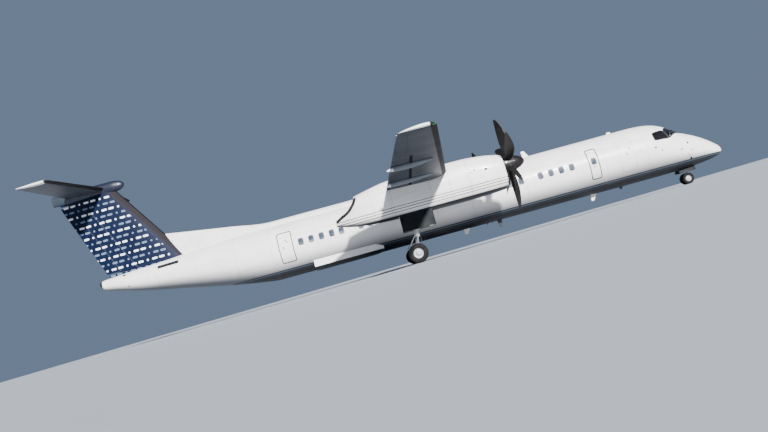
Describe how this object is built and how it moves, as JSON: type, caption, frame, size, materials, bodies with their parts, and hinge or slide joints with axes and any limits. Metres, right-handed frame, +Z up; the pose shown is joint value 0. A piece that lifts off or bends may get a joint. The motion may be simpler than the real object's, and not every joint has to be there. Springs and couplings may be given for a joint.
{
  "type": "twin-engined turboprop airliner",
  "caption": "High-wing, T-tailed regional airliner parked on its twin-wheel gear, with turning propellers and wheels, steered nose gear, hinged control surfaces and an airstair door.",
  "frame": {"origin": "on the ground, under the middle of the airliner's length and span", "axes": "+X forward to the nose, +Y to the airliner's left, +Z up; the ground is Z = 0 and the airliner stands on it one degree nose down"},
  "size_m": [32.7212, 28.42, 8.3128],
  "materials": {
    "white_paint": "gloss",
    "navy_paint": "gloss",
    "grey_paint": "satin",
    "wing_paint": "satin",
    "gear_paint": "satin",
    "window_glass": "gloss",
    "propeller_black": "satin",
    "bare_metal": "brushed",
    "tyre": "matte",
    "lamp_black": "gloss"
  },
  "bodies": {
    "airframe": {"nacelle_left": "white_paint", "nacelle_right": "white_paint", "wing_left": "wing_paint", "wing_right": "wing_paint", "wing_centre": "wing_paint", "nose_section": "white_paint", "tailplane": "grey_paint", "front_cabin": "white_paint", "tail_bullet": "navy_paint", "wing_fairing": "white_paint", "tail_section": "white_paint", "main_leg_left": "gear_paint", "main_leg_right": "gear_paint", "fin": "navy_paint", "main_brace_left": "gear_paint", "main_brace_right": "gear_paint", "radome": "white_paint", "rear_cabin": "white_paint", "nose_leg": "gear_paint", "dorsal_fin": "white_paint", "cockpit_glass_left": "window_glass", "cockpit_glass_right": "window_glass", "belly_fairing": "white_paint", "tail_light": "lamp_black", "flap_inner_left": "wing_paint", "flap_outer_left": "wing_paint", "flap_inner_right": "wing_paint", "flap_outer_right": "wing_paint", "main_door_outer_left": "white_paint", "main_door_inner_left": "white_paint", "main_door_outer_right": "white_paint", "main_door_inner_right": "white_paint", "nose_door_left": "white_paint", "nose_door_right": "white_paint", "engine_left": "bare_metal", "engine_right": "bare_metal"},
    "propeller_left": {"propeller_left": "propeller_black", "spinner_left": "propeller_black"},
    "propeller_right": {"propeller_right": "propeller_black", "spinner_right": "propeller_black"},
    "main_wheels_left": {"main_hubs_left": "gear_paint", "main_tyre_left_a": "tyre", "main_tyre_left_b": "tyre"},
    "main_wheels_right": {"main_hubs_right": "gear_paint", "main_tyre_right_a": "tyre", "main_tyre_right_b": "tyre"},
    "nose_steering": {"nose_fork": "gear_paint"},
    "nose_wheels": {"nose_hubs": "gear_paint", "nose_tyre_a": "tyre", "nose_tyre_b": "tyre"},
    "fore_rudder": {"fore_rudder": "navy_paint"},
    "trailing_rudder": {"trailing_rudder": "navy_paint"},
    "elevator_left": {"elevator_left": "grey_paint"},
    "elevator_right": {"elevator_right": "grey_paint"},
    "aileron_left": {"aileron_left": "wing_paint"},
    "aileron_right": {"aileron_right": "wing_paint"},
    "airstair_door": {"airstair_door": "white_paint"}
  },
  "joints": [
    {"name": "propeller_left", "type": "hinge", "parent": "airframe", "child": "propeller_left", "pos_m": [5.01806, 4.395, 3.04835], "axis": [0.9998, 0, -0.0175], "continuous": true},
    {"name": "propeller_right", "type": "hinge", "parent": "airframe", "child": "propeller_right", "pos_m": [5.01806, -4.395, 3.04835], "axis": [0.9998, 0, -0.0175], "continuous": true},
    {"name": "main_wheels_left", "type": "hinge", "parent": "airframe", "child": "main_wheels_left", "pos_m": [0.4036, 4.395, 0.42668], "axis": [0, 1, 0], "continuous": true},
    {"name": "main_wheels_right", "type": "hinge", "parent": "airframe", "child": "main_wheels_right", "pos_m": [0.4036, -4.395, 0.42668], "axis": [0, 1, 0], "continuous": true},
    {"name": "nose_steering", "type": "hinge", "parent": "airframe", "child": "nose_steering", "pos_m": [14.34311, 0, 0.27655], "axis": [0.0175, 0, 0.9998], "range_deg": [-70, 70]},
    {"name": "nose_wheels", "type": "hinge", "parent": "nose_steering", "child": "nose_wheels", "pos_m": [14.34311, 0, 0.27655], "axis": [0, 1, 0], "continuous": true},
    {"name": "fore_rudder", "type": "hinge", "parent": "airframe", "child": "fore_rudder", "pos_m": [-13.02341, 0, 3.70932], "axis": [-0.438, 0, 0.899], "range_deg": [-18, 18]},
    {"name": "trailing_rudder", "type": "hinge", "parent": "fore_rudder", "child": "trailing_rudder", "pos_m": [-13.90663, 0, 3.77074], "axis": [-0.3956, 0, 0.9184], "range_deg": [-18, 18]},
    {"name": "elevator_left", "type": "hinge", "parent": "airframe", "child": "elevator_left", "pos_m": [-14.92413, 0.33, 8.01714], "axis": [-0.0565, 0.9984, 0.001], "range_deg": [-20, 25]},
    {"name": "elevator_right", "type": "hinge", "parent": "airframe", "child": "elevator_right", "pos_m": [-14.92413, -0.33, 8.01714], "axis": [0.0565, 0.9984, -0.001], "range_deg": [-20, 25]},
    {"name": "aileron_left", "type": "hinge", "parent": "airframe", "child": "aileron_left", "pos_m": [0.67937, 10.9, 3.73154], "axis": [0.0272, 0.9986, 0.0455], "range_deg": [-17, 17]},
    {"name": "aileron_right", "type": "hinge", "parent": "airframe", "child": "aileron_right", "pos_m": [0.67937, -10.9, 3.73154], "axis": [-0.0272, 0.9986, -0.0455], "range_deg": [-17, 17]},
    {"name": "airstair_door", "type": "hinge", "parent": "airframe", "child": "airstair_door", "pos_m": [11.09848, 0.936, 1.18595], "axis": [-0.9998, 0, 0.0175], "range_deg": [0, 120]}
  ],
  "couplings": [
    {"joint": "trailing_rudder", "follows": "fore_rudder", "ratio": 1},
    {"joint": "elevator_right", "follows": "elevator_left", "ratio": 1},
    {"joint": "aileron_right", "follows": "aileron_left", "ratio": -1}
  ]
}
